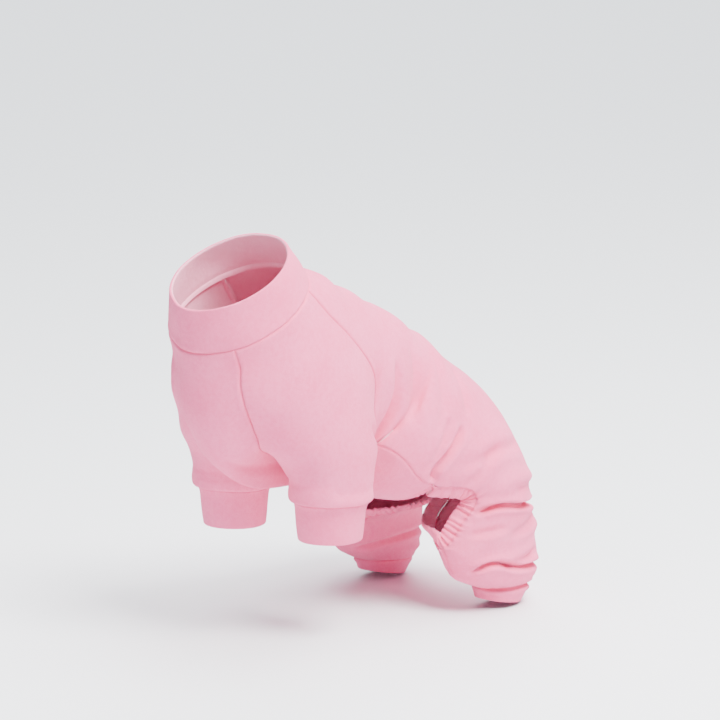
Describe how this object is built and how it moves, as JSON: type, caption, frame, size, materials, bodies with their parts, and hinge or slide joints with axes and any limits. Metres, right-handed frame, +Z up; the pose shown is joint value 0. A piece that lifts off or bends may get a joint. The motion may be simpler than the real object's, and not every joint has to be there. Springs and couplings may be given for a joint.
{
  "type": "dog jumpsuit",
  "caption": "Four-legged jumpsuit in plain pink brushed knit for a small sitting pet, with a neck band, raglan sleeves, smooth cuffs, a gathered seat casing and bunched hind legs",
  "frame": {"origin": "where the back of the jumpsuit rests on the wearer's withers, on the middle line of the back", "axes": "+X the wearer's left, -Y its front, +Z up"},
  "size_m": [0.1892, 0.3316, 0.328],
  "materials": {
    "pink_fleece": "brushed cotton fleece, soft matt nap",
    "pink_band": "the same fleece doubled, smooth at the cuffs and gathered on elastic"
  },
  "bodies": {
    "root": {"under_panel": "pink_fleece", "sleeve_left": "pink_fleece", "sleeve_right": "pink_fleece", "back_panel": "pink_fleece", "neck_band": "pink_band", "cuff_left": "pink_band", "cuff_right": "pink_band", "belly_casing": "pink_band", "seat_casing": "pink_band", "ankle_hem_left": "pink_band", "ankle_hem_right": "pink_band"}
  },
  "joints": []
}
